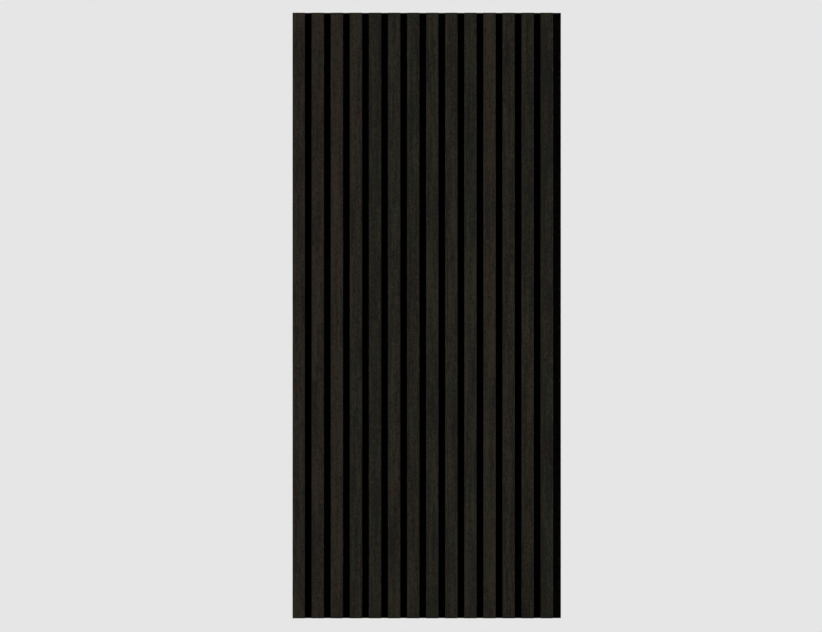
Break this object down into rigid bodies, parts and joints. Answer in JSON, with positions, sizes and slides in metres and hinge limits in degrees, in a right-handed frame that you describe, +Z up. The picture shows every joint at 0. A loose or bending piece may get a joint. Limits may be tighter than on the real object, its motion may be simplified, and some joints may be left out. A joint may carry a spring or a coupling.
{
  "type": "acoustic panel",
  "caption": "Upright wall panel of narrow dark wood-veneered slats with even open grooves between them, stapled to a board of black felt.",
  "frame": {"origin": "centre of the felt's back face, which lies on the wall", "axes": "+Z up along the slats, +Y into the wall, +X to the right as seen from the room; the slats face -Y"},
  "size_m": [0.532, 0.021, 1.2],
  "materials": {
    "dark_veneer": "matt, open grain, stained charcoal brown",
    "fibreboard": "raw sawn, dyed through",
    "black_felt": "pressed, needled fibre",
    "staple_wire": "galvanised"
  },
  "bodies": {
    "root": {"felt_backing": "black_felt", "staples": "staple_wire", "slat_core_01": "fibreboard", "slat_veneer_01": "dark_veneer", "slat_core_02": "fibreboard", "slat_veneer_02": "dark_veneer", "slat_core_03": "fibreboard", "slat_veneer_03": "dark_veneer", "slat_core_04": "fibreboard", "slat_veneer_04": "dark_veneer", "slat_core_05": "fibreboard", "slat_veneer_05": "dark_veneer", "slat_core_06": "fibreboard", "slat_veneer_06": "dark_veneer", "slat_core_07": "fibreboard", "slat_veneer_07": "dark_veneer", "slat_core_08": "fibreboard", "slat_veneer_08": "dark_veneer", "slat_core_09": "fibreboard", "slat_veneer_09": "dark_veneer", "slat_core_10": "fibreboard", "slat_veneer_10": "dark_veneer", "slat_core_11": "fibreboard", "slat_veneer_11": "dark_veneer", "slat_core_12": "fibreboard", "slat_veneer_12": "dark_veneer", "slat_core_13": "fibreboard", "slat_veneer_13": "dark_veneer", "slat_core_14": "fibreboard", "slat_veneer_14": "dark_veneer"}
  },
  "joints": []
}
